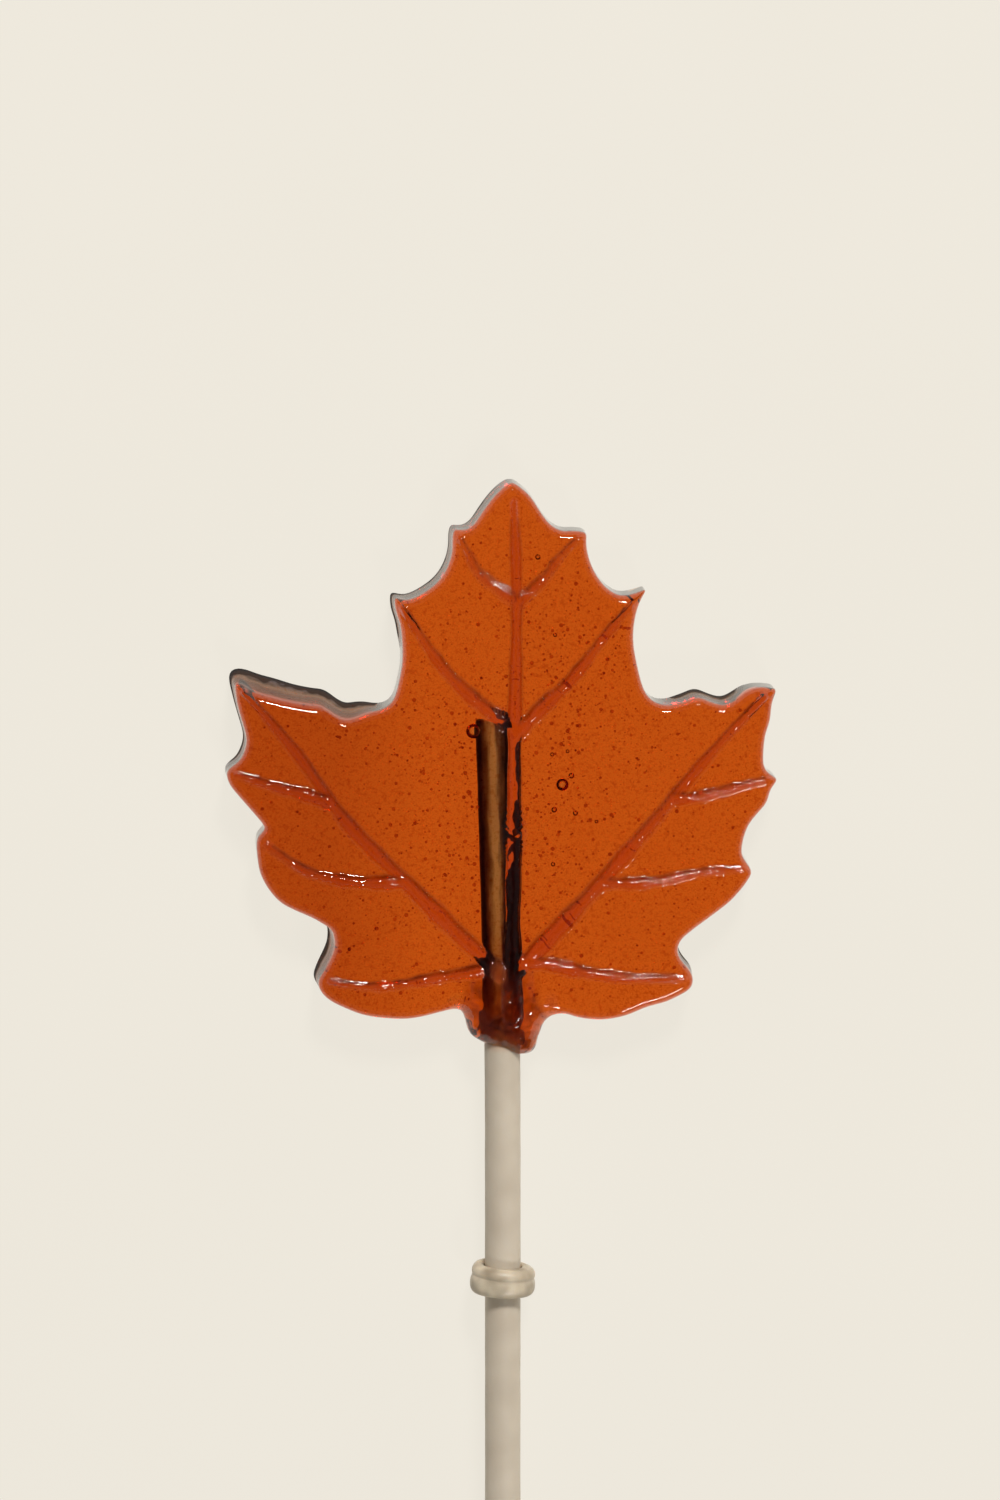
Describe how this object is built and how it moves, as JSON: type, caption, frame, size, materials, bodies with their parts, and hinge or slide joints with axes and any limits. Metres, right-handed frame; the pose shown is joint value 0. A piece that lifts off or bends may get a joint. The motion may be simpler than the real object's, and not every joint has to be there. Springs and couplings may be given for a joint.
{
  "type": "maple leaf lollipop",
  "caption": "Clear amber boiled sweet cast as a maple leaf with raised veins, on a straight plastic stick with a soft elastic ring.",
  "frame": {"origin": "middle of the whole lollipop's box, on the surface it lies on", "axes": "+Y along the stick towards the leaf's tip, +Z out of the veined front, +X to the right as the front is looked at"},
  "size_m": [0.0608, 0.1278, 0.0074],
  "materials": {
    "amber_sugar": "clear amber boiled sugar, smooth and glossy, with small bubbles",
    "frosted_plastic": "off-white frosted plastic, satin, faintly mottled",
    "soft_elastic": "translucent cream elastic, slightly glossy"
  },
  "bodies": {
    "root": {"candy_leaf": "amber_sugar", "stick": "frosted_plastic", "ring": "soft_elastic"}
  },
  "joints": []
}
